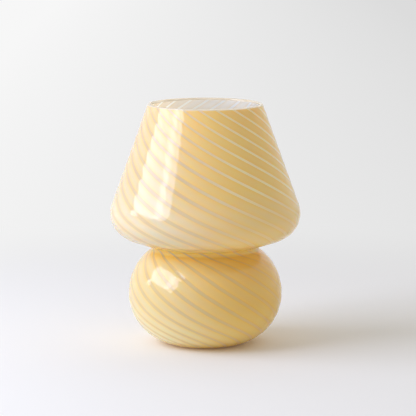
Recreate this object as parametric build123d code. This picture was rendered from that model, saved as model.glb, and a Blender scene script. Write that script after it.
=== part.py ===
from build123d import *
import os
from math import asin, atan2, cos, degrees, hypot, pi, radians, sin, sqrt, tan

# Mushroom table lamp, mm. The lamp's axis is Z, its foot stands at Z = 0, and its rear is +Y.
# A one-piece blown glass body carries, across its waist, a clamped three-arm fitter with a
# screw lampholder and a globe bulb.

# ---------- driving dimensions ----------

# glass body, outside
lamp_height = 241.0
rim_radius = 57.0  # the cone's outside, carried up to the top
shade_radius = 95.2
shoulder_radius = 26.5  # rounding between the cone and the underside
underside_slope = 18.0  # degrees from level
waist_radius = 50.0  # corner of underside and base, before it is rounded
waist_height = 97.4
waist_rounding = 3.0
base_radius = 77.0
base_mid_height = 50.6
foot_radius = 33.6
punt_radius = 22.0  # shallow hollow inside the ground foot ring
punt_depth = 1.2

# glass body, wall
wall = 3.6
floor_extra = 2.4  # the floor is this much thicker than the wall

# cord hole and its grommet
cord_hole_height = 24.0
cord_hole_radius = 6.0
cord_bore_radius = 3.5
grommet_flange_radius = 9.0
grommet_flange = 2.0
grommet_gap = 0.2

# three-arm fitter that rests on the shade's floor
arm_count = 3
arm_width = 14.0
arm_thickness = 1.5
arm_start = 6.0  # where the sloped arm end starts, outside the waist corner
arm_rise = 7.0  # length of the sloped arm end
arm_end_trim = 1.0  # taken off the square arm end where it is rounded
hub_radius = 19.0
rib_width = 4.0
rib_height = 0.8
rib_edge = 0.55
pad_thickness = 1.5
pad_length = 6.0
pad_gap = 0.3  # under the middle of each flat pad, on the hollow floor
bend_radius = 2.5

# claw spring that grips the glass from below the waist
claw_thickness = 0.8
claw_width = 11.0
claw_hub_radius = 13.0
claw_drop = 19.0  # from the arms' hub down to the claws' hub
claw_dip = 1.2
sleeve_radius = 1.9
sleeve_gap = 0.6  # between the middle of a straight sleeve and the round glass
claw_reach = 4.5  # how far outside the waist corner the sleeves bear

# threaded tube, nuts and washers
tube_radius = 5.0
tube_bore = 4.0
tube_tail = 4.0  # below the lower nut
thread_slip = 0.05
nut_flats = 14.0
nut_height = 3.5
washer_radius = 8.8
washer_thickness = 0.8
washer_teeth = 12
bushing_lip = 1.5
bushing_sleeve = 6.0
bushing_wall = 0.8

# lampholder
holder_radius = 14.0
cap_height = 26.0
cap_boss_radius = 9.0
cap_boss_height = 4.0
cap_flare_height = 12.0
cap_floor = 9.0
cap_wall = 1.8
tube_entry = 7.8  # how far the threaded tube goes into the cap
shell_height = 26.0
shell_lip = 1.0  # bevel at the shell's mouth
spigot_height = 6.0
spigot_wall = 1.5
slip = 0.2  # between round pieces that are fixed to each other
block_flange = 2.5
block_height = 11.0
boss_length = 12.0
boss_width = 10.0
boss_height = 6.5
boss_web = 6.0  # left solid between the two terminal screws
plate_thickness = 0.8
plate_size = 6.0
terminal_screw_radius = 1.25
terminal_head_radius = 2.4
terminal_head = 1.6
lock_screw_radius = 1.5
lock_screw_length = 4.6
lock_screw_rise = 2.4  # above the foot of the cap
screw_slot = 0.6
contact_ring = 0.5
contact_ring_hole = 4.8
contact_leg_width = 4.0
contact_leg = 0.6

# screw thread of cap and shell: a circle that winds about the axis
thread_pitch = 2.822
thread_mean_radius = 6.65
thread_throw = 0.3  # half the thread's depth
thread_clearance = 0.1
screw_shell_wall = 0.9
screw_shell_height = 14.5

# sprung centre contact
plunger_radius = 2.4
plunger_flange = 1.0
plunger_pin_radius = 1.7
plunger_slip = 0.1
plunger_stand = 1.8  # how far the pin stands above the block
plunger_travel = 1.0
pocket_depth = 8.0
pocket_lip = 1.2
spring_wire = 0.25
spring_turns = 4

# bulb
globe_radius = 22.5
globe_wall = 0.9
bulb_neck_radius = 7.6
bulb_neck_length = 4.0  # straight glass between the cap and the flare
bulb_flare = 18.0  # radius of the hollow curve between neck and globe
tip_radius = 2.3
tip_height = 1.2
contact_gap = 0.1
insulator_radius = 5.6
insulator_height = 4.0
insulator_edge = 0.6
insulator_foot = 2.8  # radius where it meets the tip
thread_length = 12.0
skirt_radius = 7.3
skirt_height = 4.0
cap_metal = 0.4
insulator_plug = 1.5  # the insulator's upper step, inside the cap
driver_size = 7.5
driver_edge = 0.9
stem_radius = 1.9
stem_foot = 1.2
stem_flare_height = 8.0
filament_count = 4
filament_radius = 0.9
filament_length = 24.0
filament_ring_low = 8.0
filament_ring_high = 5.5
lead_radius = 0.25
lead_gap = 0.1

# ---------- glass outline ----------


def unit(angle):
    """Unit vector (r, z) at an angle in degrees from outward."""
    return Vector(cos(radians(angle)), sin(radians(angle)))


def upright_arc(reach, rise):
    """Radius of an arc that starts upright and ends reach inwards and rise away."""
    return (reach**2 + rise**2) / (2 * reach)


slope = unit(underside_slope)
below = unit(underside_slope - 90)
waist = Vector(waist_radius, waist_height)

lower_radius = upright_arc(base_radius - foot_radius, base_mid_height)
lower_centre = Vector(base_radius - lower_radius, base_mid_height)
upper_radius = upright_arc(base_radius - waist_radius, waist_height - base_mid_height)
upper_centre = Vector(base_radius - upper_radius, base_mid_height)

shoulder_r = shade_radius - shoulder_radius
shoulder_z = (
    waist_height
    + (shoulder_r - waist_radius) * tan(radians(underside_slope))
    + shoulder_radius / cos(radians(underside_slope))
)
shoulder = Vector(shoulder_r, shoulder_z)

rim_in = shoulder_r - rim_radius
rim_up = lamp_height - shoulder_z
cone_slope = degrees(atan2(rim_in, rim_up) + asin(shoulder_radius / hypot(rim_in, rim_up)))
cone_out = unit(cone_slope)
cone_up = unit(cone_slope + 90)

# centre of the waist's rounding: outside the upper arc and under the shade's floor
to_waist = waist + below * waist_rounding - upper_centre
along = to_waist.dot(slope)
waist_reach = upper_radius + waist_rounding
waist_centre = (
    waist
    + below * waist_rounding
    + slope * (sqrt(along**2 + waist_reach**2 - to_waist.dot(to_waist)) - along)
)
waist_in = (upper_centre - waist_centre).normalized()


def lip_centre():
    """Centre of the rim's rounded lip, halfway through the wall."""
    start = shoulder + cone_out * (shoulder_radius - wall / 2)
    return start + cone_up * ((lamp_height - wall / 2 - start.Y) / cone_up.Y)


def wall_points(inset):
    """Where the lines and arcs of the outline meet, from base to cone, inset into the wall."""
    turn = waist_rounding + inset
    middle = (waist_in - below).normalized()
    across = shoulder_radius - inset
    return {
        "equator": lower_centre + Vector(lower_radius - inset, 0),
        "upper_mid": upper_centre + unit(30) * (upper_radius - inset),
        "waist_low": waist_centre + waist_in * turn,
        "waist_mid": waist_centre + middle * turn,
        "waist_high": waist_centre - below * turn,
        "shade_floor": shoulder + below * across,
        "shade_mid": shoulder + unit((cone_slope + underside_slope - 90) / 2) * across,
        "cone": shoulder + cone_out * across,
    }


def lower_arc_point(inset, height):
    """Point at a height on the base's lower arc, inset into the wall."""
    radius = lower_radius - inset
    drop = base_mid_height - height
    return Vector(lower_centre.X + sqrt(radius**2 - drop**2), height)


def on_lower_arc(inset, angle):
    return lower_centre + unit(angle) * (lower_radius - inset)


def base_to_cone(inset, start):
    """Edges of the outline from a point on the lower arc up to the top of the cone."""
    p = wall_points(inset)
    low_angle = degrees(atan2(start.Y - lower_centre.Y, start.X - lower_centre.X))
    top = lip_centre() + cone_out * (wall / 2 - inset)
    return [
        ThreePointArc(start, on_lower_arc(inset, low_angle / 2), p["equator"]),
        ThreePointArc(p["equator"], p["upper_mid"], p["waist_low"]),
        ThreePointArc(p["waist_low"], p["waist_mid"], p["waist_high"]),
        Line(p["waist_high"], p["shade_floor"]),
        ThreePointArc(p["shade_floor"], p["shade_mid"], p["cone"]),
        Line(p["cone"], top),
    ]


# ---------- shared helpers ----------


def turned(*edges):
    """A solid of revolution about Z from edges drawn as (radius, height)."""
    return revolve(Plane.XZ * make_face(list(edges)), Axis.Z)


def turned_polygon(*points):
    return turned(*Polyline(*points, close=True).edges())


def ring(inner, outer, bottom, top):
    return turned_polygon((inner, bottom), (outer, bottom), (outer, top), (inner, top))


def bent_strip(points, thickness, width):
    """A metal strip bent along points (radius, height), with its thickness above the line."""
    line = FilletPolyline(*points, radius=bend_radius)
    outline = offset(line, amount=thickness, side=Side.LEFT, closed=True)
    return extrude(Plane.XZ * make_face(outline.edges()), width / 2, both=True)


def around(piece, count, start=0.0):
    """The same piece repeated about the lamp's axis."""
    return [Rot(0, 0, start + 360 * i / count) * piece for i in range(count)]


def thread_core(radius, bottom, top):
    """Inside of a single-start round thread, whose turns depend only on the height."""
    path = Rot(0, 0, 360 * bottom / thread_pitch) * Pos(0, 0, bottom) * Helix(
        pitch=thread_pitch, height=top - bottom, radius=thread_throw
    )
    start = path @ 0
    section = Plane(origin=start, x_dir=(1, 0, 0), z_dir=(0, 0, 1)) * Circle(radius)
    return sweep(section, path=path, normal=(0, 0, 1))


def save(name, *pieces):
    """Write one node, of one solid or of several like ones."""
    solids = [s for piece in pieces for s in piece.solids()]
    shape = solids[0] if len(solids) == 1 else Compound(children=solids)
    shape.label = name
    export_step(shape, f"parts/{name}.step")


# ---------- glass ----------

floor_top = wall + floor_extra
foot_outer = lower_arc_point(0, 0)
floor_corner = lower_arc_point(wall, floor_top)

hole_angle = degrees(asin((cord_hole_height - base_mid_height) / lower_radius))
hole_out = Vector(0, cos(radians(hole_angle)), sin(radians(hole_angle)))
hole_face = Vector(0, lower_centre.X, lower_centre.Y) + hole_out * lower_radius
hole_plane = Plane(origin=hole_face, x_dir=(1, 0, 0), z_dir=hole_out)
band_reach = 25.0  # degrees of the lower arc each side of the hole


def glass_body():
    lip = lip_centre()
    lip_out = lip + cone_out * (wall / 2)
    lip_in = lip - cone_out * (wall / 2)
    body = turned(
        *Polyline((0, punt_depth), (punt_radius - punt_depth, punt_depth), (punt_radius, 0)).edges(),
        Line((punt_radius, 0), foot_outer),
        *base_to_cone(0, foot_outer),
        ThreePointArc(lip_out, lip + cone_up * (wall / 2), lip_in),
        *base_to_cone(wall, floor_corner),
        Line(floor_corner, (0, floor_top)),
        Line((0, floor_top), (0, punt_depth)),
    )
    return body - hole_plane * Cylinder(cord_hole_radius, 6 * wall)


def wall_band(grow):
    """The base's wall around the cord hole, thickened by grow on both faces."""
    angles = (hole_angle - band_reach, hole_angle, hole_angle + band_reach)
    outer = [on_lower_arc(-grow, angle) for angle in angles]
    inner = [on_lower_arc(wall + grow, angle) for angle in reversed(angles)]
    return turned(
        ThreePointArc(*outer),
        Line(outer[2], inner[0]),
        ThreePointArc(*inner),
        Line(inner[2], outer[0]),
    )


def cord_grommet():
    outside = grommet_gap + grommet_flange
    length = wall + 2 * outside
    shape = hole_plane * Pos(0, 0, outside - length / 2) * Cylinder(grommet_flange_radius, length)
    flanges = shape - wall_band(grommet_gap)
    neck = hole_plane * Pos(0, 0, -wall / 2) * Cylinder(
        cord_hole_radius - grommet_gap, wall + 2 * grommet_gap + grommet_flange
    )
    return flanges + neck - hole_plane * Cylinder(cord_bore_radius, 6 * wall)


# ---------- fitter ----------


def above_floor(radius, lift):
    """Point over the shade's sloped floor at a radius, lift above the glass."""
    start = waist - below * wall
    level = start + slope * ((radius - start.X) / slope.X)
    return level - below * lift


pad_start = above_floor(waist_radius + arm_start, pad_gap)
pad_top = above_floor(waist_radius + arm_start, pad_gap + pad_thickness)
arm_bend = pad_top - slope * (arm_start / 2)
arm_end = pad_top + slope * arm_rise
arm_bottom = arm_bend.Y
arm_top = arm_bottom + arm_thickness
claw_hub = arm_top - claw_drop

tube_hole = tube_radius + thread_slip


def fitter_frame():
    strip = bent_strip([(0, arm_bottom), arm_bend, arm_end], arm_thickness, arm_width)
    strip &= Pos(0, 0, arm_bottom) * Cylinder(arm_end.X - arm_end_trim, 4 * arm_rise)
    rib_start, rib_end = hub_radius - 2 * rib_width, arm_bend.X - 2 * rib_width
    rib = Pos((rib_start + rib_end) / 2, 0, arm_top) * extrude(
        SlotOverall(rib_end - rib_start, rib_width), rib_height
    )
    rib = fillet(rib.faces().sort_by(Axis.Z)[-1].edges(), rib_edge)
    frame = ring(tube_hole, hub_radius, arm_bottom, arm_top)
    frame += around(strip + rib, arm_count, 90)
    return frame - Pos(0, 0, arm_bottom) * Cylinder(tube_hole, 8 * arm_thickness)


def fitter_pads():
    length = slope * pad_length
    corners = [pad_start, pad_start + length, pad_top + length, pad_top]
    side = make_face(Polyline(*corners, close=True).edges())
    return around(extrude(Plane.XZ * side, arm_width / 2, both=True), arm_count, 90)


# each sleeve lies along the glass just below the waist
bear_angle = degrees(
    atan2(
        sqrt((upper_radius - wall) ** 2 - (waist_radius + claw_reach - upper_centre.X) ** 2),
        waist_radius + claw_reach - upper_centre.X,
    )
)
sleeve_centre = upper_centre + unit(bear_angle) * (
    upper_radius - wall - sleeve_radius - sleeve_gap
)
claw_tip = sleeve_centre - Vector(0, claw_thickness / 2)


def claw_spring():
    knee = Vector(sleeve_centre.X - 3 * sleeve_radius - bend_radius, claw_hub - claw_dip)
    tip_path = [(0, claw_hub), (claw_hub_radius + 2 * bend_radius, claw_hub), knee, claw_tip]
    arm = bent_strip(tip_path, claw_thickness, claw_width)
    spring = ring(tube_hole, claw_hub_radius, claw_hub, claw_hub + claw_thickness)
    spring += around(arm, arm_count, 30)
    return spring - Pos(0, 0, claw_hub) * Cylinder(tube_hole, 8 * claw_thickness)


def claw_sleeves():
    lie = Pos(sleeve_centre.X, 0, sleeve_centre.Y) * Rot(90, 0, 0)
    sleeve = lie * Cylinder(sleeve_radius, claw_width)
    spring = claw_spring()
    return [piece - spring for piece in around(sleeve, arm_count, 30)]


def hex_nut(bottom):
    prism = extrude(RegularPolygon(nut_flats / 2, 6, major_radius=False), nut_height)
    corner = nut_flats / 2 / cos(pi / 6)
    edge = (corner - nut_flats / 2) / 2
    barrel = turned_polygon(
        (0, 0),
        (corner - edge, 0),
        (corner, edge),
        (corner, nut_height - edge),
        (corner - edge, nut_height),
        (0, nut_height),
    )
    return Pos(0, 0, bottom) * ((prism & barrel) - Cylinder(tube_hole, 3 * nut_height))


def star_washer(bottom):
    disc = ring(tube_hole, washer_radius, bottom, bottom + washer_thickness)
    notch_width = pi * washer_radius / washer_teeth
    depth = (washer_radius - tube_hole) / 2
    notch = Pos(washer_radius, 0, bottom) * Box(depth, notch_width, 4 * washer_thickness)
    return disc - around(notch, washer_teeth)


upper_washer = arm_bottom - washer_thickness
upper_nut = upper_washer - nut_height
lower_washer = claw_hub - washer_thickness
lower_nut = lower_washer - nut_height
tube_bottom = lower_nut - tube_tail
tube_top = arm_top + tube_entry


def threaded_tube():
    return ring(tube_bore, tube_radius, tube_bottom, tube_top)


def tube_bushing():
    outer = tube_bore - slip
    inner = outer - bushing_wall
    low = tube_bottom - bushing_lip
    return turned_polygon(
        (inner, low),
        (tube_radius, low),
        (tube_radius, tube_bottom),
        (outer, tube_bottom),
        (outer, tube_bottom + bushing_sleeve),
        (inner, tube_bottom + bushing_sleeve),
    )


# ---------- lampholder ----------

cap_bottom = arm_top
cap_top = cap_bottom + cap_height
shell_top = cap_top + shell_height
spigot_bottom = cap_top - spigot_height
spigot_outer = holder_radius - cap_wall - slip
block_flange_bottom = spigot_bottom - block_flange
block_radius = spigot_outer - spigot_wall - slip
block_top = spigot_bottom + block_height
ring_top = block_top + contact_ring
core_radius = thread_mean_radius + thread_clearance
screw_shell_outer = core_radius + screw_shell_wall
screw_shell_top = ring_top + screw_shell_height
boss_bottom = block_flange_bottom - boss_height
lock_height = cap_bottom + lock_screw_rise


def holder_cap():
    ledge = holder_radius - cap_wall - spigot_wall - slip
    inside = holder_radius - cap_wall
    cap = turned_polygon(
        (tube_bore, cap_bottom + cap_floor),
        (tube_bore, tube_top),
        (tube_hole, tube_top),
        (tube_hole, cap_bottom),
        (cap_boss_radius, cap_bottom),
        (cap_boss_radius, cap_bottom + cap_boss_height),
        (holder_radius, cap_bottom + cap_flare_height),
        (holder_radius, cap_top),
        (inside, cap_top),
        (inside, block_flange_bottom),
        (ledge, block_flange_bottom),
        (ledge, cap_bottom + cap_floor),
    )
    hole = Pos(cap_boss_radius, 0, lock_height) * Rot(0, 90, 0)
    return cap - hole * Cylinder(lock_screw_radius + thread_slip, 2 * (cap_boss_radius - tube_radius))


def cap_lock_screw():
    start = tube_radius + thread_slip
    body = Pos(start + lock_screw_length / 2, 0, lock_height) * Rot(0, 90, 0)
    screw = body * Cylinder(lock_screw_radius, lock_screw_length)
    slot = Pos(start + lock_screw_length, 0, lock_height)
    return screw - slot * Box(lock_screw_radius, 4 * lock_screw_radius, screw_slot)


def holder_shell():
    lip = shell_lip
    bore = screw_shell_outer + slip
    room = block_radius + slip
    return turned_polygon(
        (room, spigot_bottom),
        (spigot_outer, spigot_bottom),
        (spigot_outer, cap_top),
        (holder_radius, cap_top),
        (holder_radius, shell_top - lip),
        (holder_radius - lip, shell_top),
        (bore + lip, shell_top),
        (bore, shell_top - 2 * lip),
        (bore, ring_top),
        (room, ring_top),
    )


def contact_block():
    block = turned_polygon(
        (0, block_flange_bottom),
        (holder_radius - cap_wall - slip, block_flange_bottom),
        (holder_radius - cap_wall - slip, spigot_bottom),
        (block_radius, spigot_bottom),
        (block_radius, block_top),
        (0, block_top),
    )
    boss_middle = (boss_bottom + block_flange_bottom) / 2
    block += Pos(0, 0, boss_middle) * Box(boss_length, boss_width, boss_height)
    pin_hole = plunger_pin_radius + plunger_slip
    pocket_top = block_top - pocket_lip
    block -= Pos(0, 0, pocket_top - pocket_depth / 2) * Cylinder(
        plunger_radius + plunger_slip, pocket_depth
    )
    block -= Pos(0, 0, block_top) * Cylinder(pin_hole, 3 * pocket_lip)
    screw_hole = Pos(0, 0, boss_middle) * Rot(0, 90, 0) * Cylinder(
        terminal_screw_radius + thread_slip, 2 * boss_length
    )
    block -= screw_hole - Pos(0, 0, boss_middle) * Box(boss_web, boss_width, boss_height)
    leg_slot = Pos(0, block_radius - contact_leg, block_top) * Box(
        contact_leg_width + 2 * slip, 2 * contact_leg + 2 * slip, 2 * block_height
    )
    return block - leg_slot


def terminal_plates():
    middle = (boss_bottom + block_flange_bottom) / 2
    hole = Rot(0, 90, 0) * Cylinder(terminal_screw_radius + thread_slip, 4 * plate_thickness)
    plate = Box(plate_thickness, plate_size, boss_height - 2 * slip) - hole
    place = Pos((boss_length + plate_thickness) / 2, 0, middle)
    return around(place * plate, 2)


def terminal_screws():
    middle = (boss_bottom + block_flange_bottom) / 2
    start = boss_web / 2 + thread_slip
    seat = boss_length / 2 + plate_thickness
    shank = Pos((start + seat) / 2, 0, middle) * Rot(0, 90, 0) * Cylinder(
        terminal_screw_radius, seat - start
    )
    head = Pos(seat + terminal_head / 2, 0, middle) * Rot(0, 90, 0) * Cylinder(
        terminal_head_radius, terminal_head
    )
    slot = Pos(seat + terminal_head, 0, middle) * Box(
        terminal_head, 3 * terminal_head_radius, screw_slot
    )
    return around(shank + head - slot, 2)


def side_contact():
    washer = ring(contact_ring_hole, screw_shell_outer, block_top, ring_top)
    leg_outer = block_radius - contact_leg / 2
    leg_length = block_height - slip
    leg = Pos(0, leg_outer - contact_leg / 2, block_top - leg_length / 2) * Box(
        contact_leg_width, contact_leg, leg_length
    )
    bridge = Pos(0, leg_outer - contact_leg_width / 2, block_top + contact_ring / 2) * Box(
        contact_leg_width, contact_leg_width, contact_ring
    )
    return washer + bridge + leg


def screw_shell():
    blank = Pos(0, 0, (ring_top + screw_shell_top) / 2) * Cylinder(
        screw_shell_outer, screw_shell_top - ring_top
    )
    return blank - thread_core(core_radius, ring_top - thread_pitch, screw_shell_top + thread_pitch)


pin_top = block_top + plunger_stand
flange_top = block_top - pocket_lip - plunger_travel / 2
spring_bottom = block_top - pocket_lip - pocket_depth


def centre_plunger():
    return turned_polygon(
        (0, flange_top - plunger_flange),
        (plunger_radius, flange_top - plunger_flange),
        (plunger_radius, flange_top),
        (plunger_pin_radius, flange_top),
        (plunger_pin_radius, pin_top),
        (0, pin_top),
    )


def plunger_spring():
    length = flange_top - plunger_flange - spring_bottom - 2 * spring_wire
    radius = plunger_radius - 2 * spring_wire
    coil = Pos(0, 0, spring_bottom + spring_wire) * Helix(
        pitch=length / spring_turns, height=length, radius=radius
    )
    section = Plane(origin=coil @ 0, z_dir=coil % 0) * Circle(spring_wire)
    return sweep(section, path=coil, is_frenet=True)


# ---------- bulb ----------

bulb_bottom = pin_top + contact_gap
thread_bottom = bulb_bottom + insulator_height
thread_top = thread_bottom + thread_length
skirt_top = thread_top + skirt_height
neck_top = skirt_top + bulb_neck_length
globe_centre = neck_top + sqrt(
    (globe_radius + bulb_flare) ** 2 - (bulb_neck_radius + bulb_flare) ** 2
)
bulb_top = globe_centre + globe_radius
cap_bore = thread_mean_radius - thread_throw - cap_metal
plug_top = thread_bottom + insulator_plug
filament_low = globe_centre - filament_length / 2
filament_high = globe_centre + filament_length / 2


def bulb_tip():
    return turned_polygon(
        (0, bulb_bottom),
        (tip_radius / 2, bulb_bottom),
        (tip_radius, bulb_bottom + tip_height / 2),
        (tip_radius, bulb_bottom + tip_height),
        (0, bulb_bottom + tip_height),
    )


def bulb_insulator():
    seat = bulb_bottom + tip_height
    plug_radius = cap_bore - slip / 2
    return turned_polygon(
        (0, seat),
        (insulator_foot, seat),
        (insulator_radius, thread_bottom - insulator_edge),
        (insulator_radius, thread_bottom),
        (plug_radius, thread_bottom),
        (plug_radius, plug_top),
        (0, plug_top),
    )


def bulb_cap():
    cap = thread_core(thread_mean_radius, thread_bottom, thread_top)
    cap += ring(cap_bore, skirt_radius, thread_top, skirt_top)
    return cap - Pos(0, 0, thread_bottom) * Cylinder(cap_bore, 4 * (thread_length + skirt_height))


def bulb_driver():
    block = Pos(0, 0, plug_top + driver_size / 2) * Box(driver_size, driver_size, driver_size)
    return fillet(block.edges().filter_by(Axis.Z), driver_edge)


def globe_outline(inset):
    """Edges of the globe from the foot of its neck to its top, inset into the glass."""
    neck = bulb_neck_radius - inset
    globe = globe_radius - inset
    flare = bulb_flare + inset
    middle = Vector(0, globe_centre)
    flare_centre = Vector(neck + flare, neck_top)
    to_globe = (middle - flare_centre).normalized()
    meet = flare_centre + to_globe * flare
    flare_mid = flare_centre + (to_globe + Vector(-1, 0)).normalized() * flare
    low_angle = degrees(atan2(meet.Y - globe_centre, meet.X))
    return [
        Line((neck, skirt_top), (neck, neck_top)),
        ThreePointArc((neck, neck_top), flare_mid, meet),
        ThreePointArc(meet, middle + unit((low_angle + 90) / 2) * globe, (0, globe_centre + globe)),
    ]


def bulb_globe():
    inside = bulb_neck_radius - globe_wall
    return turned(
        *globe_outline(0),
        Line((0, bulb_top), (0, bulb_top - globe_wall)),
        *globe_outline(globe_wall),
        Line((inside, skirt_top), (bulb_neck_radius, skirt_top)),
    )


def bulb_stem():
    foot = bulb_neck_radius - globe_wall - slip
    flare_top = skirt_top + stem_foot + stem_flare_height
    return turned(
        *Polyline((0, skirt_top), (foot, skirt_top), (foot, skirt_top + stem_foot)).edges(),
        Line((foot, skirt_top + stem_foot), (stem_radius, flare_top)),
        Line((stem_radius, flare_top), (stem_radius, filament_high - stem_radius)),
        ThreePointArc(
            (stem_radius, filament_high - stem_radius),
            Vector(0, filament_high - stem_radius) + unit(45) * stem_radius,
            (0, filament_high),
        ),
        Line((0, filament_high), (0, skirt_top)),
    )


def rod(start, end, radius):
    """A straight round bar between two points."""
    axis = end - start
    place = Plane(origin=(start + end) / 2, z_dir=axis)
    return place * Cylinder(radius, axis.length)


def bulb_filaments():
    low = Vector(filament_ring_low, 0, filament_low)
    high = Vector(filament_ring_high, 0, filament_high)
    return around(rod(low, high, filament_radius), filament_count, 45)


def bulb_leads():
    """Wires from the stem to the lower and upper end of each filament."""
    wires = []
    for ring_radius, end_height, out in (
        (filament_ring_low, filament_low, -1),
        (filament_ring_high, filament_high, 1),
    ):
        end = Vector(ring_radius, 0, end_height + out * (lead_gap + filament_radius / 2))
        start = Vector(stem_radius + lead_gap, 0, end.Z + out * lead_radius)
        wires += around(rod(start, end, lead_radius), filament_count, 45)
    return wires


os.makedirs("parts", exist_ok=True)
save("glass_body", glass_body())
save("cord_grommet", cord_grommet())
save("fitter_frame", fitter_frame())
save("fitter_pads", *fitter_pads())
save("claw_spring", claw_spring())
save("claw_sleeves", *claw_sleeves())
save("hex_nuts", hex_nut(upper_nut), hex_nut(lower_nut))
save("star_washers", star_washer(upper_washer), star_washer(lower_washer))
save("threaded_tube", threaded_tube())
save("tube_bushing", tube_bushing())
save("holder_cap", holder_cap())
save("cap_lock_screw", cap_lock_screw())
save("holder_shell", holder_shell())
save("contact_block", contact_block())
save("terminal_plates", *terminal_plates())
save("terminal_screws", *terminal_screws())
save("side_contact", side_contact())
save("screw_shell", screw_shell())
save("centre_plunger", centre_plunger())
save("plunger_spring", plunger_spring())
save("bulb_tip", bulb_tip())
save("bulb_insulator", bulb_insulator())
save("bulb_cap", bulb_cap())
save("bulb_driver", bulb_driver())
save("bulb_stem", bulb_stem())
save("bulb_filaments", *bulb_filaments())
save("bulb_leads", *bulb_leads())
save("bulb_globe", bulb_globe())
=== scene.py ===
import math

import bpy
import numpy as np
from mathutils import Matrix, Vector


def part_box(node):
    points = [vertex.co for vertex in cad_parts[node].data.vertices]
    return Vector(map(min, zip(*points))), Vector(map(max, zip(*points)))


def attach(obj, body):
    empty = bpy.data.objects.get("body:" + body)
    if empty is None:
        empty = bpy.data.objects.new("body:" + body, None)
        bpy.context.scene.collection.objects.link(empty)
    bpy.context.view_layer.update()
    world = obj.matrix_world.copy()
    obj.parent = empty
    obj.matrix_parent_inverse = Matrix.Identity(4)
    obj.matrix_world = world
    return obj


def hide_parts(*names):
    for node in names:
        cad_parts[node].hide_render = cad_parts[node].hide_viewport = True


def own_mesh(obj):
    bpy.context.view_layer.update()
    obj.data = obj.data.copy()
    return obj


# A mushroom table lamp of swirled, blown glass. Lengths are in metres, +Z is up and the camera
# looks along +Y. Turns about the lamp's axis are measured from -Y towards +X.

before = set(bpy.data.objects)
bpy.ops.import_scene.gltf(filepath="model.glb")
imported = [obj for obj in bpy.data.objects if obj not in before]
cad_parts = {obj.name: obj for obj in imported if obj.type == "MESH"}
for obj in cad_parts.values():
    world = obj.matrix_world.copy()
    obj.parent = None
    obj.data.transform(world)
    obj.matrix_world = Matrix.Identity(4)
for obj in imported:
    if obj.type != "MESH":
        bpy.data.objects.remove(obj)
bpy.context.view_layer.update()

MM = 0.001

# ---------- the glass outline, as the CAD source draws it ----------

LAMP_HEIGHT = 241 * MM
RIM_RADIUS = 57 * MM
SHADE_RADIUS = 95.2 * MM
SHOULDER_RADIUS = 26.5 * MM
UNDERSIDE_SLOPE = math.radians(18)
WAIST_RADIUS = 50 * MM
WAIST_HEIGHT = 97.4 * MM
WAIST_ROUNDING = 3 * MM
BASE_RADIUS = 77 * MM
BASE_MID_HEIGHT = 50.6 * MM
FOOT_RADIUS = 33.6 * MM
FOOT_ROUNDING = 0.9 * MM
PUNT_RADIUS = 22 * MM
PUNT_MIDDLE = 8 * MM  # radius of a ring of the mesh, so that the swirl turns evenly
PUNT_DEPTH = 1.2 * MM
WALL = 3.6 * MM
FLOOR_TOP = 6 * MM
FLOOR_RINGS = (0.9, 0.6, 0.3, 0)  # of the mesh, as shares of the floor's radius
CORD_HOLE_HEIGHT = 24 * MM
CORD_HOLE_RADIUS = 6 * MM
CORD_HOLE_SIDES = 64

# ---------- the contact's spring, as the CAD source has it ----------

SPRING_WIRE = 0.25 * MM  # half its thickness
SPRING_TURNS = 4
SPRING_STEPS = 24  # of the wire's path, for each turn
SPRING_FACETS = 4  # more of them make the wire rounder

# ---------- the swirl ----------

STRIPES = 20
COLUMNS = 12  # of the mesh, for each stripe
ROW_STEP = 2 * MM  # at most, along the wall
ARC_STEP = 0.16  # radians at most, in the bends
# how far the stripes have turned, in degrees, at each height
TWIST = (
    (241, -95),
    (226, -72),
    (205, -42),
    (180, -8),
    (150, 31),
    (130, 57),
    (117, 75),
    (97, 107),
    (88, 129),
    (78, 144),
    (64, 160),
    (50, 176),
    (36, 193),
    (24, 211),
    (12, 232),
    (0, 252),
)
FOOT_TWIST = math.radians(1.6) / MM  # per length, across the foot and the floor
# the stripes lie closer together on one side of the glass
CROWDING = ((1, 3.3, 68), (2, 1.25, 70))  # waves about the lamp, shift, place in degrees

# places and widths across a stripe are shares of the stripes' pitch
STRIPE_WIDTH = 0.225
STRIPE_WANDER = 0.03  # the stripe's edges wander by this much in all
EDGE_WIDTH = 0.016  # from the stripe's colour to its dark edge's
EDGE_REACH = (0.5 * EDGE_WIDTH, 2.5 * EDGE_WIDTH)  # the dark edge fades out between these
EDGE_DARK = 0.4  # share of the deep colour that darkens it
EDGE_DEEP = 0.25  # share of the deep colour in the band next to it
BAND_MIDDLE = 0.45
BAND_PAINTED_LIGHT = (-62 * MM, 38 * MM)  # the bands' painted window light and shade changes between these, from left to right
STRIPE_PAINTED_LIGHT = (-40 * MM, 60 * MM)  # and the stripes' painted light and shade between these
SIDE_MOTTLE = 0.3  # share of that change by which clouds in the glass shift it
# clouds in the glass, waves of the stripes' edges and clouds of the lip and foot, per metre
MOTTLE_WAVES = 26
WANDER_WAVES = 90
CLOUD_WAVES = 40
# from the waist up, the painted light's change moves left by this share of the height over
# LEAN_FROM
PAINTED_LIGHT_LEAN = 0.15
LEAN_FROM = 150 * MM
# from the low colours to the base's, on to the shoulder's and on to the shade's; the outside's low
# colours are paler with painted light
LEVELS = ((10 * MM, 56 * MM), (85 * MM, 115 * MM), (130 * MM, 170 * MM))
PAINTED_GLOW_REACH = (1 * MM, 11 * MM)  # from the waist and from the foot: painted amber of bounce light and shade in the waist's crease, and painted glow at the foot

BLOWN_WAVES = 24.0  # the blown surface's slow waves, per metre
BLOWN_DEPTH = 0.3 * MM
SWELL = 0.2 * MM  # the bands bulge to the outline, and the surface falls this far to the stripes
GROOVE = 0.05 * MM  # which lie this much deeper still
GROOVE_SPREAD = 0.09  # share of the pitch
RELIEF_FADE = (6 * MM, 8 * MM)  # the surface is back on the outline at the foot and at the lip

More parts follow.
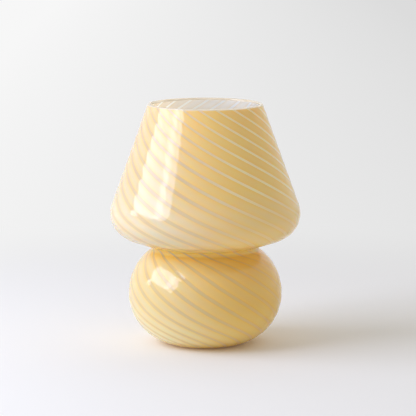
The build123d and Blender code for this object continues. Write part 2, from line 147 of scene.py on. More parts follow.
SIDES = ("outside", "lip", "inside", "foot")  # the glass's materials, in order
FOOT_GLOW = (0.01 * MM, 2.2 * MM)  # between these the foot has light through the glass, and its amber colour is painted glow


def unit(angle):
    return np.array([math.cos(angle), math.sin(angle)])


def angle_of(v):
    return math.atan2(v[1], v[0])


def upright_arc(reach, rise):
    """Radius of an arc that starts upright and ends reach inwards and rise away."""
    return (reach**2 + rise**2) / (2 * reach)


def arc(centre, radius, start, end):
    """Points along an arc, and the outward normals there."""
    turn = abs(end - start)
    count = max(3, math.ceil(turn * radius / ROW_STEP), math.ceil(turn / ARC_STEP))
    angles = np.linspace(start, end, count + 1)
    normals = np.stack([np.cos(angles), np.sin(angles)], 1)
    return centre + normals * abs(radius), normals * np.sign(radius)


def straight(start, end, normal):
    """Points along a straight line, and its outward normal at each."""
    count = max(1, math.ceil(np.linalg.norm(end - start) / ROW_STEP))
    steps = np.linspace(0, 1, count + 1)[:, None]
    return start + (end - start) * steps, np.repeat(normal[None], count + 1, 0)


def outline():
    """The outside of the glass from foot to lip: points (radius, height) and normals."""
    slope = unit(UNDERSIDE_SLOPE)
    below = unit(UNDERSIDE_SLOPE - math.pi / 2)
    waist = np.array([WAIST_RADIUS, WAIST_HEIGHT])
    lower_radius = upright_arc(BASE_RADIUS - FOOT_RADIUS, BASE_MID_HEIGHT)
    lower_centre = np.array([BASE_RADIUS - lower_radius, BASE_MID_HEIGHT])
    upper_radius = upright_arc(BASE_RADIUS - WAIST_RADIUS, WAIST_HEIGHT - BASE_MID_HEIGHT)
    upper_centre = np.array([BASE_RADIUS - upper_radius, BASE_MID_HEIGHT])
    shoulder_r = SHADE_RADIUS - SHOULDER_RADIUS
    shoulder = np.array(
        [
            shoulder_r,
            WAIST_HEIGHT
            + (shoulder_r - WAIST_RADIUS) * math.tan(UNDERSIDE_SLOPE)
            + SHOULDER_RADIUS / math.cos(UNDERSIDE_SLOPE),
        ]
    )
    rim = np.array([shoulder_r - RIM_RADIUS, LAMP_HEIGHT - shoulder[1]])
    cone_slope = angle_of(rim[::-1]) + math.asin(SHOULDER_RADIUS / np.linalg.norm(rim))
    cone_out, cone_up = unit(cone_slope), unit(cone_slope + math.pi / 2)
    # the waist's rounding lies outside the base's upper arc and under the shade's floor
    rounding = waist + below * WAIST_ROUNDING
    to_waist = rounding - upper_centre
    along = to_waist @ slope
    reach = upper_radius + WAIST_ROUNDING
    shift = math.sqrt(along**2 + reach**2 - to_waist @ to_waist) - along
    waist_centre = rounding + slope * shift
    waist_in = (upper_centre - waist_centre) / np.linalg.norm(upper_centre - waist_centre)
    # the lip's centre is halfway through the wall at the top
    start = shoulder + cone_out * (SHOULDER_RADIUS - WALL / 2)
    lip = start + cone_up * ((LAMP_HEIGHT - WALL / 2 - start[1]) / cone_up[1])

    foot_angle = -math.asin((BASE_MID_HEIGHT - FOOT_ROUNDING) / (lower_radius - FOOT_ROUNDING))
    foot_centre = lower_centre + unit(foot_angle) * (lower_radius - FOOT_ROUNDING)
    runs = [
        arc(foot_centre, FOOT_ROUNDING, -math.pi / 2, foot_angle),
        arc(lower_centre, lower_radius, foot_angle, 0),
        arc(upper_centre, upper_radius, 0, angle_of(-waist_in)),
        arc(waist_centre, -WAIST_ROUNDING, angle_of(waist_in) + 2 * math.pi, angle_of(-below)),
        straight(waist_centre - below * WAIST_ROUNDING, shoulder + below * SHOULDER_RADIUS, below),
        arc(shoulder, SHOULDER_RADIUS, angle_of(below), cone_slope),
        straight(shoulder + cone_out * SHOULDER_RADIUS, lip + cone_out * WALL / 2, cone_out),
    ]
    lip_run = arc(lip, WALL / 2, cone_slope, cone_slope + math.pi)
    return runs, lip_run


def twist_at(heights):
    """Turn of the stripes at these heights, in radians: a smooth curve through TWIST."""
    table = np.array(TWIST[::-1], float)
    at, turn = table[:, 0] * MM, np.radians(table[:, 1])
    slopes = np.gradient(turn, at)
    heights = np.clip(heights, at[0], at[-1])
    i = np.clip(np.searchsorted(at, heights) - 1, 0, len(at) - 2)
    span = at[i + 1] - at[i]
    t = (heights - at[i]) / span
    return (
        turn[i] * (1 + 2 * t) * (1 - t) ** 2
        + turn[i + 1] * t**2 * (3 - 2 * t)
        + slopes[i] * span * t * (1 - t) ** 2
        - slopes[i + 1] * span * t**2 * (1 - t)
    )


def column_turns():
    """Turns of the mesh's columns, evenly spaced from stripe to stripe."""
    turns = np.linspace(-math.pi, 3 * math.pi, 1441)  # two rounds, in steps of half a degree
    phase = np.degrees(turns)
    for waves, shift, place in CROWDING:
        phase += shift * np.sin(waves * (turns - math.radians(place)))
    wanted = np.arange(STRIPES * COLUMNS) * 360 / (STRIPES * COLUMNS)
    return np.interp(wanted, phase, turns)


def relief_of(column):
    """Where the surface is from the plain outline: 0 in a band's middle, below 0 elsewhere."""
    phase = (column % COLUMNS) / COLUMNS
    away = min(phase, 1 - phase)  # from the stripe's middle, where 0.5 is the next band's middle
    groove = GROOVE * math.exp(-((away / GROOVE_SPREAD) ** 2))
    return -groove - SWELL * (0.5 + 0.5 * math.cos(2 * math.pi * away))


def lathe_rows():
    """Rows of the glass: radius and height, normal, turn, share of the relief, and material."""
    runs, lip_run = outline()
    points, normals = (
        np.concatenate([run[k][:-1] for run in runs] + [runs[-1][k][-1:]]) for k in (0, 1)
    )
    inner = points - normals * WALL
    keep = inner[:, 1] > FLOOR_TOP
    inner, inner_normals, inner_turn = inner[keep], -normals[keep], twist_at(points[keep, 1])
    rows = []

    def add(p, n, turn, share, side):
        rows.append((p, n, turn, share, side))

    bottom = points[0]
    turn_foot = twist_at(np.array([0.0]))[0]
    turn_lip = twist_at(np.array([LAMP_HEIGHT]))[0]
    down = np.array([0.0, -1.0])
    punt = [(r, PUNT_DEPTH) for r in (0, PUNT_MIDDLE, PUNT_RADIUS - PUNT_DEPTH)]
    for r, z in (*punt, (PUNT_RADIUS, 0)):
        add(np.array([r, z]), down, turn_foot + (bottom[0] - r) * FOOT_TWIST, 0, "outside")
    for p, n, turn in zip(points, normals, twist_at(points[:, 1])):
        share = min(1, p[1] / RELIEF_FADE[0], (LAMP_HEIGHT - p[1]) / RELIEF_FADE[1])
        add(p, n, turn, share, "foot" if FOOT_GLOW[0] < p[1] < FOOT_GLOW[1] else "outside")
    for p, n in zip(lip_run[0][1:-1], lip_run[1][1:-1]):
        add(p, n, turn_lip, 0, "lip")
    for p, n, turn in zip(inner[::-1], inner_normals[::-1], inner_turn[::-1]):
        add(p, n, turn, 0, "inside")
    corner = inner[0]
    for r in corner[0] * np.array(FLOOR_RINGS):
        turn = inner_turn[0] + (corner[0] - r) * FOOT_TWIST
        add(np.array([r, FLOOR_TOP]), -down, turn, 0, "inside")
    return rows


def glass_body():
    """The blown glass, whose columns follow its stripes. UV u counts stripes, v runs along it."""
    rows = lathe_rows()
    turns = column_turns()
    count = len(turns)
    relief = np.array([relief_of(c) for c in range(count)])
    mesh = bpy.data.meshes.new("glass")
    vertices, run = [], [0.0]
    for p, n, turn, share, _ in rows[1:-1]:
        reach = p[0] + n[0] * relief * share
        height = (p[1] + n[1] * relief * share) * np.ones(count)
        angle = turns + turn
        vertices.append(np.stack([reach * np.sin(angle), -reach * np.cos(angle), height], 1))
    for a, b in zip(rows, rows[1:]):
        run.append(run[-1] + np.linalg.norm(b[0] - a[0]))
    poles = np.array([[0, 0, row[0][1]] for row in (rows[0], rows[-1])])
    vertices = np.concatenate([*vertices, poles])
    ring_count = len(rows) - 2
    pole_bottom, pole_top = ring_count * count, ring_count * count + 1
    faces, uvs, sides = [], [], []
    phases = np.arange(count + 1) / COLUMNS
    for c in range(count):
        d = (c + 1) % count
        u0, u1 = phases[c], phases[c + 1]
        faces.append((pole_bottom, d, c))
        uvs += [(u0, run[0]), (u1, run[1]), (u0, run[1])]
        sides.append(SIDES.index(rows[0][4]))
        for r in range(ring_count - 1):
            faces.append((r * count + c, r * count + d, (r + 1) * count + d, (r + 1) * count + c))
            uvs += [(u0, run[r + 1]), (u1, run[r + 1]), (u1, run[r + 2]), (u0, run[r + 2])]
            sides.append(SIDES.index(rows[r + 2][4]))
        last = (ring_count - 1) * count
        faces.append((last + c, last + d, pole_top))
        uvs += [(u0, run[-2]), (u1, run[-2]), (u0, run[-1])]
        sides.append(SIDES.index(rows[-1][4]))
    mesh.from_pydata(vertices.tolist(), [], faces)
    layer = mesh.uv_layers.new(name="swirl")
    layer.data.foreach_set("uv", np.array(uvs, np.float32).ravel())
    mesh.polygons.foreach_set("material_index", np.array(sides, np.int32))
    mesh.polygons.foreach_set("use_smooth", np.ones(len(faces), bool))
    mesh.update()
    piece = bpy.data.objects.new("blown_glass", mesh)
    bpy.context.collection.objects.link(piece)
    return piece


def evaluated_mesh(piece):
    """A new mesh of the piece as its curve or its modifiers make it."""
    bpy.context.view_layer.update()
    depsgraph = bpy.context.evaluated_depsgraph_get()
    return bpy.data.meshes.new_from_object(piece.evaluated_get(depsgraph))


def plunger_spring():
    """The contact's coil spring as a smooth wire. The real one shortens as the contact goes down;
    this mesh keeps one length.
    """
    low, high = (Vector(corner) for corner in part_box("plunger_spring"))
    reach = (high.x - low.x) / 2 - SPRING_WIRE
    bottom, top = low.z + SPRING_WIRE, high.z - SPRING_WIRE
    count = SPRING_TURNS * SPRING_STEPS
    curve = bpy.data.curves.new("spring_path", "CURVE")
    curve.dimensions = "3D"
    curve.bevel_depth, curve.bevel_resolution = SPRING_WIRE, SPRING_FACETS
    curve.use_fill_caps = True
    spline = curve.splines.new("POLY")
    spline.points.add(count)
    for k, point in enumerate(spline.points):
        share = k / count
        turn = 2 * math.pi * SPRING_TURNS * share
        height = bottom + (top - bottom) * share
        point.co = (reach * math.cos(turn), reach * math.sin(turn), height, 1)
    path = bpy.data.objects.new("spring_path", curve)
    bpy.context.collection.objects.link(path)
    mesh = evaluated_mesh(path)
    bpy.data.objects.remove(path)
    piece = bpy.data.objects.new("contact_spring", mesh)
    bpy.context.collection.objects.link(piece)
    mesh.polygons.foreach_set("use_smooth", np.ones(len(mesh.polygons), bool))
    return piece


def cut_cord_hole(piece):
    """Cuts the cord's hole square through the rear of the base."""
    lower_radius = upright_arc(BASE_RADIUS - FOOT_RADIUS, BASE_MID_HEIGHT)
    angle = math.asin((CORD_HOLE_HEIGHT - BASE_MID_HEIGHT) / lower_radius)
    out = Vector((0, math.cos(angle), math.sin(angle)))
    centre = Vector((0, BASE_RADIUS - lower_radius, BASE_MID_HEIGHT))
    bpy.ops.mesh.primitive_cylinder_add(
        vertices=CORD_HOLE_SIDES,
        radius=CORD_HOLE_RADIUS,
        depth=6 * WALL,
        location=centre + out * (lower_radius - WALL / 2),
    )
    cutter = bpy.context.object
    cutter.rotation_mode = "QUATERNION"
    cutter.rotation_quaternion = out.to_track_quat("Z", "Y")
    modifier = piece.modifiers.new("cord_hole", "BOOLEAN")
    modifier.object = cutter
    modifier.operation = "DIFFERENCE"
    modifier.solver = "EXACT"
    cut = evaluated_mesh(piece)
    piece.modifiers.clear()
    piece.data = cut
    bpy.data.objects.remove(cutter)


# ---------- materials ----------


def srgb(*values):
    """A colour from its 0-255 sRGB values, as a shader wants it."""
    shares = [v / 255 for v in values]
    return (*(v / 12.92 if v < 0.04 else ((v + 0.055) / 1.055) ** 2.4 for v in shares), 1.0)


NOISE_RANGE = (0.3, 0.7)  # most of a noise lies between these
GLASS_IOR = 1.5
GLASS_ROUGHNESS = 0.02
MILK = srgb(236, 226, 208)  # a thin veil in the middle of the bands
MILK_SHARE = 0.05
# share of lamplight that passes each face of the glass, near the foot and higher up
THROUGH_LOW = (1.0, 0.93, 0.8, 1.0)
THROUGH_HIGH = (0.43, 0.39, 0.33, 1.0)
THIN_GLASS = (6 * MM, 24 * MM)  # from the one to the other between these heights


class Nodes:
    """Short calls to build a material's nodes."""

    def __init__(self, name):
        self.material = bpy.data.materials.new(name)
        self.material.use_nodes = True
        self.tree = self.material.node_tree
        self.shader = next(n for n in self.tree.nodes if n.type == "BSDF_PRINCIPLED")
        self.output = next(n for n in self.tree.nodes if n.type == "OUTPUT_MATERIAL")

    def new(self, kind, **settings):
        node = self.tree.nodes.new("ShaderNode" + kind)
        for key, value in settings.items():
            if key in node.inputs:
                node.inputs[key].default_value = value
            else:
                setattr(node, key, value)
        return node

    def link(self, source, target):
        self.tree.links.new(source, target)
        return self

    def feed(self, socket, value):
        """Links a socket to another one, or sets it to a number or a colour."""
        if isinstance(value, bpy.types.NodeSocket):
            self.link(value, socket)
        else:
            socket.default_value = value

    def math(self, operation, *values):
        node = self.new("Math", operation=operation)
        for socket, value in zip(node.inputs, values):
            self.feed(socket, value)
        return node.outputs[0]

    def ramp(self, factor, stops, smooth=False):
        """Colours between two stops."""
        node = self.new("ValToRGB")
        node.color_ramp.interpolation = "EASE" if smooth else "LINEAR"
        for element, (place, colour) in zip(node.color_ramp.elements, stops):
            element.position = place
            element.color = colour
        self.link(factor, node.inputs["Fac"])
        return node.outputs["Color"]

    def mix(self, factor, a, b, blend="MIX"):
        node = self.new("Mix", data_type="RGBA", blend_type=blend)
        for index, value in ((0, factor), (6, a), (7, b)):  # 6 and 7 take the colours
            self.feed(node.inputs[index], value)
        return node.outputs[2]

    def span(self, value, start, end):
        """0 up to start, 1 from end on, smooth between them."""
        node = self.new("MapRange", interpolation_type="SMOOTHSTEP")
        self.link(value, node.inputs["Value"])
        node.inputs["From Min"].default_value = start
        node.inputs["From Max"].default_value = end
        return node.outputs["Result"]

    def wobble(self, noise, size):
        """Noise about zero, size from low to high."""
        return self.math("MULTIPLY", self.math("SUBTRACT", noise, 0.5), size)

    def place(self):
        """A point's place in the piece's own space."""
        return self.new("TexCoord").outputs["Object"]

    def noise(self, scale, detail=3.0, roughness=0.5, stretch=(1.0, 1.0, 1.0)):
        """Noise in the piece's own space, from 0 to 1. A stretch under 1 draws it out."""
        mapping = self.new("Mapping", Scale=stretch)
        self.link(self.place(), mapping.inputs["Vector"])
        node = self.new("TexNoise", Scale=scale, Detail=detail, Roughness=roughness)
        self.link(mapping.outputs[0], node.inputs["Vector"])
        return node.outputs[0]

    def between(self, noise, low=0.0, high=1.0):
        """low to high over NOISE_RANGE."""
        node = self.new("MapRange")
        self.link(noise, node.inputs["Value"])
        ends = zip(("From Min", "From Max", "To Min", "To Max"), (*NOISE_RANGE, low, high))
        for key, value in ends:
            node.inputs[key].default_value = value
        return node.outputs["Result"]

    def bump(self, height, depth, strength=0.5):
        node = self.new("Bump", Distance=depth, Strength=strength)
        self.link(height, node.inputs["Height"])
        self.link(node.outputs[0], self.shader.inputs["Normal"])
        return self

    def split(self, vector):
        """The X, Y and Z of a vector."""
        node = self.new("SeparateXYZ")
        self.link(vector, node.inputs[0])
        return node.outputs

    def pass_lamplight(self, through=None):
        """Lets this share of the lamps' light through to what is behind the glass, or else all."""
        clear = self.new("BsdfTransparent")
        if through:
            self.link(through, clear.inputs["Color"])
        blend = self.new("MixShader")
        self.link(self.new("LightPath").outputs["Is Shadow Ray"], blend.inputs[0])
        self.link(self.shader.outputs[0], blend.inputs[1])
        self.link(clear.outputs[0], blend.inputs[2])
        return self.link(blend.outputs[0], self.output.inputs["Surface"])

    def set(self, **sockets):
        for key, value in sockets.items():
            self.feed(self.shader.inputs[key.replace("_", " ")], value)
        return self


def blown_finish(m, colour, roughness, scatter, reach, reach_colour):
    """The gloss, depth and slow waves of all the lamp's glass."""
    m.set(
        Base_Color=colour,
        Roughness=roughness,
        IOR=GLASS_IOR,
        Subsurface_Weight=scatter,
        Subsurface_Radius=reach_colour,
        Subsurface_Scale=reach,
    )
    m.bump(m.noise(BLOWN_WAVES, detail=1.0), BLOWN_DEPTH, 1.0)
    high = m.span(m.split(m.place())[2], *THIN_GLASS)
    return m.pass_lamplight(m.mix(high, THROUGH_LOW, THROUGH_HIGH)).material


def swirl_glass(name, band, stripe, deep, scatter, reach, reach_colour):
    """Banded glass with thin stripes, with painted amber of bounce light and shade at the waist
    and painted glow at the foot.

    band and stripe each have the colours at left and right low on the base, on the base, on the
    shade's shoulder and on the shade; the change from left to right is painted light and shade
    from the window on the left, and the outside's paler low colours are painted light. scatter is
    the share of light that enters the glass, and reach how far it goes.
    """
    m = Nodes(name)
    x, _, z = m.split(m.place())
    mottle = m.noise(MOTTLE_WAVES, detail=4.0, roughness=0.55)
    height = m.math("MAXIMUM", z, WAIST_HEIGHT)
    lean = m.math("MULTIPLY", m.math("SUBTRACT", height, LEAN_FROM), PAINTED_LIGHT_LEAN)
    painted_light_sideways = m.math("ADD", x, lean)

    # blend paints the light and shade of each pair across the glass, and mixes the pairs up its
    # heights
    def blend(pairs, side):
        across = m.math("ADD", m.span(painted_light_sideways, *side), m.wobble(mottle, SIDE_MOTTLE))
        colour = m.mix(across, *pairs[0])
        for pair, heights in zip(pairs[1:], LEVELS):
            colour = m.mix(m.span(z, *heights), colour, m.mix(across, *pair))
        return colour

    from_waist = m.math("ABSOLUTE", m.math("SUBTRACT", z, WAIST_HEIGHT))
    from_end = m.math("MINIMUM", from_waist, z)
    # painted amber of bounce light and shade at the waist's crease, and painted glow at the foot,
    # over the bands
    body = m.mix(m.span(from_end, *PAINTED_GLOW_REACH), deep, blend(band, BAND_PAINTED_LIGHT))

    stripe_count = m.split(m.new("UVMap", uv_map="swirl").outputs[0])[0]
    phase = m.math("FRACT", m.math("ADD", stripe_count, 0.5))
    away = m.math("ABSOLUTE", m.math("SUBTRACT", phase, 0.5))  # from the stripe's middle
    away = m.math("ADD", away, m.wobble(m.noise(WANDER_WAVES, detail=2.0), STRIPE_WANDER))
    half = STRIPE_WIDTH / 2
    edge_start, edge_end = (half + reach_out for reach_out in EDGE_REACH)
    dark_edge = m.mix(EDGE_DARK, body, deep, "MULTIPLY")
    near = m.mix(m.span(away, edge_start, edge_end), dark_edge, m.mix(EDGE_DEEP, body, deep))
    middle = m.mix(MILK_SHARE, body, MILK)
    between_stripes = m.mix(m.span(away, edge_end, BAND_MIDDLE), near, middle)
    off_stripe = m.span(away, half - EDGE_WIDTH / 2, half + EDGE_WIDTH / 2)
    colour = m.mix(off_stripe, blend(stripe, STRIPE_PAINTED_LIGHT), between_stripes)
    return blown_finish(m, colour, GLASS_ROUGHNESS, scatter, reach, reach_colour)


def edge_glass(name, colour, cloud, roughness, reach, reach_colour):
    """Glass of the lip and the foot, full of light from the wall, with faint clouds of colour."""
    m = Nodes(name)
    clouds = m.mix(m.between(m.noise(CLOUD_WAVES)), colour, cloud)
    return blown_finish(m, clouds, roughness, 1.0, reach, reach_colour)


def rubber(name, colour, worn):
    """Soft rubber: matt, a little see-through, with dusty patches."""
    m = Nodes(name)
    m.set(
        Base_Color=m.mix(m.between(m.noise(120)), colour, worn),
        Roughness=m.between(m.noise(420), 0.5, 0.68),
        Subsurface_Weight=0.25,
        Subsurface_Scale=1.5 * MM,
    )
    return m.bump(m.noise(1600), 0.02 * MM).material


def powder_coat(name, colour, thin):
    """Baked powder paint with its fine orange peel, thinner in places."""
    m = Nodes(name)
    m.set(
        Base_Color=m.mix(m.between(m.noise(60)), colour, thin),
        Roughness=m.between(m.noise(260), 0.32, 0.46),
    )
    return m.bump(m.noise(1100, detail=2.0), 0.03 * MM, 0.35).material


def metal(name, colour, tarnish, roughness, stretch=(1.0, 1.0, 1.0), cloud=90.0):
    """Bare or plated metal with clouds of tarnish and fine marks drawn out along the stretch."""
    m = Nodes(name)
    marks = m.noise(900, detail=5.0, stretch=stretch)
    m.set(
        Base_Color=m.mix(m.between(m.noise(cloud, detail=5.0)), colour, tarnish),
        Metallic=1.0,
        Roughness=m.between(marks, *roughness),
    )
    return m.bump(marks, 0.008 * MM, 0.4).material


def moulded(name, colour, shade, roughness, grain):
    """Moulded plastic with a faint flow of colour and a fine grain."""
    m = Nodes(name)
    m.set(
        Base_Color=m.mix(m.between(m.noise(45, detail=4.0)), colour, shade),
        Roughness=m.between(m.noise(500), *roughness),
        Subsurface_Weight=0.1,
        Subsurface_Scale=1 * MM,
    )
    return m.bump(m.noise(1800), grain, 0.4).material


def clear_glass(name):
    """Thin clear glass with a faint film of dust."""
    m = Nodes(name)
    dust = m.noise(150, detail=4.0)
    m.set(
        Base_Color=m.mix(m.between(dust), srgb(255, 255, 255), srgb(246, 248, 247)),
        Roughness=m.between(dust, 0.0, 0.03),
        IOR=1.46,
        Transmission_Weight=1.0,
    )
    return m.pass_lamplight().material


def phosphor(name):
    """Grainy yellow coat of a filament."""
    m = Nodes(name)
    grains = m.noise(2600, detail=2.0)
    m.set(
        Base_Color=m.mix(m.between(grains), srgb(244, 206, 84), srgb(226, 168, 40)),
        Roughness=0.75,
        Subsurface_Weight=0.3,
        Subsurface_Scale=0.6 * MM,
    )
    return m.bump(grains, 0.05 * MM).material


def finishes():
    """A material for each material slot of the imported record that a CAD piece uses."""
    return {
        "clear_rubber": rubber("grommet_rubber", srgb(236, 226, 204), srgb(222, 212, 190)),
        "pad_rubber": rubber("white_rubber", srgb(238, 236, 230), srgb(224, 221, 213)),
        "white_metal": powder_coat("white_powder_coat", srgb(243, 241, 235), srgb(232, 230, 223)),
        "spring_steel": metal(
            "bright_spring_steel",
            srgb(206, 207, 205),
            srgb(178, 180, 180),
            roughness=(0.18, 0.34),
            stretch=(1, 1, 0.08),
        ),
        "zinc_steel": metal(
            "zinc_plate", srgb(214, 216, 216), srgb(186, 191, 194), roughness=(0.26, 0.44)
        ),
        "brass": metal(
            "brass_sheet",
            srgb(226, 190, 116),
            srgb(198, 154, 84),
            roughness=(0.2, 0.38),
            cloud=160,
        ),
        "nickel": metal(
            "nickel_plate",
            srgb(224, 219, 208),
            srgb(204, 198, 186),
            roughness=(0.14, 0.3),
            stretch=(1, 1, 0.3),
        ),
        "solder": metal(
            "solder_drop",
            srgb(206, 206, 208),
            srgb(176, 177, 182),
            roughness=(0.24, 0.5),
            cloud=500,
        ),
        "white_plastic": moulded(
            "white_moulding",
            srgb(240, 239, 234),
            srgb(233, 231, 224),
            roughness=(0.3, 0.42),
            grain=0.01 * MM,
        ),
        "block_plastic": moulded(
            "cream_moulding",
            srgb(238, 233, 218),
            srgb(229, 222, 204),
            roughness=(0.22, 0.36),
            grain=0.012 * MM,
        ),
        "black_insulator": moulded(
            "black_glass",
            srgb(24, 24, 26),
            srgb(36, 34, 34),
            roughness=(0.08, 0.16),
            grain=0.004 * MM,
        ),
        "driver_resin": moulded(
            "grey_resin",
            srgb(96, 106, 98),
            srgb(78, 86, 82),
            roughness=(0.45, 0.65),
            grain=0.03 * MM,
        ),
        "bulb_glass": clear_glass("bulb_glass_clear"),
        "filament_coat": phosphor("filament_phosphor"),
    }


# ---------- camera, stage and light ----------

PHOTO_SIDE = 416  # pixels
CAMERA_DISTANCE = 2.267
CAMERA_SIDE = 2.75 * MM
CAMERA_HEIGHT = 483.2 * MM
CAMERA_PITCH = 0.152  # radians below level
FOCAL_PIXELS = 2295
SENSOR = 36.0
CLIP = (0.05, 60)

FLOOR_RADIUS = 12
FLOOR_COLOUR = srgb(237, 237, 234)
FLOOR_GAP = 0.05 * MM  # under the foot, so that their faces don't share a plane
FLOOR_FADE = (0.3, 0.75)  # from the lamp's axis: the floor turns into the backdrop between these

BACKDROP_LEFT = srgb(247, 247, 247)
BACKDROP_RIGHT = srgb(220, 220, 220)
BACKDROP_SIDE = (-0.5, 0.625)  # places of these two colours, in metres
BACKDROP_WIDTH = 2.5  # the ramp between them covers this much
BACKDROP_ABOVE = srgb(240, 240, 240)

# the room's light, from the front (-Y) to the rear of it
ROOM_FRONT = 0.46
ROOM_REAR = 0.86
ROOM_REACH = (-0.4, 0.6)  # as the Y of a direction
ROOM_LIGHT = (1.0, 0.975, 0.95, 1.0)
# a dimmer doorway on the right: its edges as the X, Y and Z of a direction, and its share of light
DOOR_RIGHT = (0.68, 0.74)
DOOR_REAR = (-0.16, -0.1)
DOOR_TOP = (0.4, 0.46)
DOOR_LEVEL = 0.84

DAYLIGHT = (0.93, 0.97, 1.2)
WINDOW_RISE = 31  # degrees


def make_camera():
    data = bpy.data.cameras.new("camera")
    data.sensor_width = SENSOR
    data.lens = FOCAL_PIXELS * SENSOR / PHOTO_SIDE
    data.clip_start, data.clip_end = CLIP
    camera = bpy.data.objects.new("camera", data)
    camera.location = (CAMERA_SIDE, -CAMERA_DISTANCE, CAMERA_HEIGHT)
    camera.rotation_euler = (math.pi / 2 - CAMERA_PITCH, 0, 0)
    bpy.context.collection.objects.link(camera)
    bpy.context.scene.camera = camera


def combined(tree, operation, a, b):
    """Output of a Math node in any tree."""
    node = tree.nodes.new("ShaderNodeMath")
    node.operation = operation
    tree.links.new(a, node.inputs[0])
    tree.links.new(b, node.inputs[1])
    return node.outputs[0]


def background_rays(tree):
    """1 for the rays that see the background: the camera's, those off gloss and through glass."""
    path = tree.nodes.new("ShaderNodeLightPath")
    total = path.outputs["Is Camera Ray"]
    for ray in ("Is Glossy Ray", "Is Transmission Ray"):
        total = combined(tree, "MAXIMUM", total, path.outputs[ray])
    return total


def make_floor():
    """A pale floor that keeps the lamp's shadow and fades into the plain backdrop."""
    bpy.ops.mesh.primitive_circle_add(
        vertices=128, radius=FLOOR_RADIUS, fill_type="NGON", location=(0, 0, -FLOOR_GAP)
    )
    floor = bpy.context.object
    floor.name = "floor"
    m = Nodes("pale_floor")
    m.set(Base_Color=FLOOR_COLOUR, Roughness=0.9, Specular_IOR_Level=0.2)
    place = m.place()
    distance = m.new("VectorMath", operation="LENGTH")
    m.link(place, distance.inputs[0])
    stops = zip(FLOOR_FADE, ((0, 0, 0, 1), (1, 1, 1, 1)))
    fade = m.ramp(distance.outputs["Value"], stops, smooth=True)
    far = m.math("MULTIPLY", fade, background_rays(m.tree))
    glow = m.new("Emission", Strength=1.0)
    m.link(backdrop_colour(m, place), glow.inputs["Color"])
    blend = m.new("MixShader")
    m.link(far, blend.inputs[0])
    m.link(m.shader.outputs[0], blend.inputs[1])
    m.link(glow.outputs[0], blend.inputs[2])
    m.link(blend.outputs[0], m.output.inputs["Surface"])
    floor.data.materials.append(m.material)


def backdrop_colour(m, place):
    """Pale grey with painted light that falls off a little from left to right."""
    across = m.math("MULTIPLY_ADD", m.split(place)[0], 1 / BACKDROP_WIDTH, 0.5)
    stops = [0.5 + side / BACKDROP_WIDTH for side in BACKDROP_SIDE]
    return m.ramp(across, zip(stops, (BACKDROP_LEFT, BACKDROP_RIGHT)))


def make_world():
    """Even light, stronger from the white backdrop behind, with a dimmer doorway on the right."""
    world = bpy.data.worlds.new("studio")
    bpy.context.scene.world = world
    world.use_nodes = True
    tree = world.node_tree
    split = tree.nodes.new("ShaderNodeSeparateXYZ")
    tree.links.new(tree.nodes.new("ShaderNodeTexCoord").outputs["Generated"], split.inputs[0])

    def level(axis, reach, values):
        node = tree.nodes.new("ShaderNodeMapRange")
        node.interpolation_type = "SMOOTHSTEP"
        for name, value in zip(("From Min", "From Max", "To Min", "To Max"), (*reach, *values)):
            node.inputs[name].default_value = value
        tree.links.new(split.outputs[axis], node.inputs["Value"])
        return node.outputs["Result"]

    room = level("Y", ROOM_REACH, (ROOM_FRONT, ROOM_REAR))
    right = level("X", DOOR_RIGHT, (1, DOOR_LEVEL))
    rear = level("Y", DOOR_REAR, (1, DOOR_LEVEL))
    top = level("Z", DOOR_TOP, (DOOR_LEVEL, 1))
    door = combined(tree, "MAXIMUM", combined(tree, "MAXIMUM", right, rear), top)
    light = tree.nodes["Background"]
    light.inputs["Color"].default_value = ROOM_LIGHT
    tree.links.new(combined(tree, "MULTIPLY", room, door), light.inputs["Strength"])
    seen = tree.nodes.new("ShaderNodeBackground")
    seen.inputs["Color"].default_value = BACKDROP_ABOVE
    blend = tree.nodes.new("ShaderNodeMixShader")
    output = next(n for n in tree.nodes if n.type == "OUTPUT_WORLD")
    tree.links.new(background_rays(tree), blend.inputs[0])
    tree.links.new(light.outputs[0], blend.inputs[1])
    tree.links.new(seen.outputs[0], blend.inputs[2])
    tree.links.new(blend.outputs[0], output.inputs["Surface"])


def soft_box(name, side, distance, width, height, radiance):
    """A daylight window that faces the lamp's middle, side degrees to the left of the camera."""
    data = bpy.data.lights.new(name, "AREA")
    data.shape = "RECTANGLE"
    data.size, data.size_y = width, height
    data.energy = radiance * math.pi * width * height
    data.color = DAYLIGHT
    light = bpy.data.objects.new(name, data)
    side, rise = math.radians(side), math.radians(WINDOW_RISE)
    level = math.cos(rise)
    out = Vector((-math.sin(side) * level, -math.cos(side) * level, math.sin(rise)))
    light.location = Vector((0, 0, LAMP_HEIGHT / 2)) + out * distance
    light.rotation_mode = "QUATERNION"
    light.rotation_quaternion = out.to_track_quat("Z", "Y")
    bpy.context.collection.objects.link(light)


# ---------- the whole ----------

bpy.context.scene.view_settings.view_transform = "Standard"
bpy.context.scene.cycles.use_denoising = True

make_camera()
make_world()
make_floor()
soft_box("window", side=75, distance=1.6, width=1.56, height=0.92, radiance=4.5)
soft_box("window_pane", side=60, distance=1.58, width=0.24, height=0.66, radiance=3.0)

glass = glass_body()
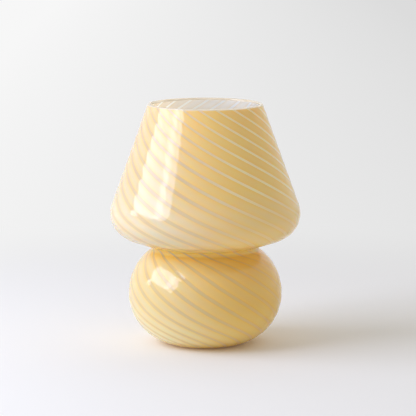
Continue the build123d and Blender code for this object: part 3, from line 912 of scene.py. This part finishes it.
# left and right, from the foot up: low on the base, on the base, on the shoulder, on the shade;
# the paler left colours are painted light from the window, and the paler low row painted light
outside = swirl_glass(
    "swirled_glass",
    band=(
        (srgb(251, 233, 186), srgb(255, 214, 124)),
        (srgb(224, 204, 151), srgb(246, 199, 97)),
        (srgb(225, 212, 181), srgb(251, 214, 143)),
        (srgb(220, 201, 158), srgb(252, 210, 121)),
    ),
    stripe=(
        (srgb(238, 209, 156), srgb(246, 206, 146)),
        (srgb(215, 192, 144), srgb(242, 199, 114)),
        (srgb(220, 199, 160), srgb(253, 218, 158)),
        (srgb(212, 188, 153), srgb(255, 231, 182)),
    ),
    deep=srgb(255, 211, 102),
    scatter=0.6,
    reach=6 * MM,
    reach_colour=(1.0, 0.6, 0.25),
)
# inside, the shade's dark amber left and near-white right are painted shade and painted window
# light; the base's pairs paint the same, more faintly
base_band = (srgb(236, 200, 146), srgb(246, 212, 160))
base_stripe = (srgb(238, 216, 180), srgb(248, 230, 200))
shade_band = (srgb(219, 154, 78), srgb(255, 243, 222))
shade_stripe = (srgb(248, 226, 190), srgb(255, 254, 250))
inside = swirl_glass(
    "inner_glass",
    band=(base_band, base_band, shade_band, shade_band),
    stripe=(base_stripe, base_stripe, shade_stripe, shade_stripe),
    deep=srgb(246, 212, 150),
    scatter=1.0,
    reach=45 * MM,
    reach_colour=(1.0, 0.9, 0.8),
)
# the foot's strong amber is painted glow where the glass meets the floor
foot = edge_glass(
    "foot_glass_painted_glow",
    srgb(244, 190, 84),
    srgb(238, 182, 74),
    roughness=0.08,
    reach=60 * MM,
    reach_colour=(1.0, 0.8, 0.5),
)
lip = edge_glass(
    "clear_lip",
    srgb(228, 207, 178),
    srgb(218, 194, 164),
    roughness=0.04,
    reach=20 * MM,
    reach_colour=(1.0, 0.9, 0.8),
)
for material in (outside, lip, inside, foot):
    glass.data.materials.append(material)
cut_cord_hole(glass)
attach(glass, "lamp")
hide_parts("glass_body")

coats = finishes()
spring = plunger_spring()
spring.data.materials.append(coats["spring_steel"])
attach(spring, "lamp")
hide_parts("plunger_spring")
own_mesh(spring)
for name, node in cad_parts.items():
    if name != "glass_body":
        for place in node.material_slots:
            place.material = coats[place.material.name]
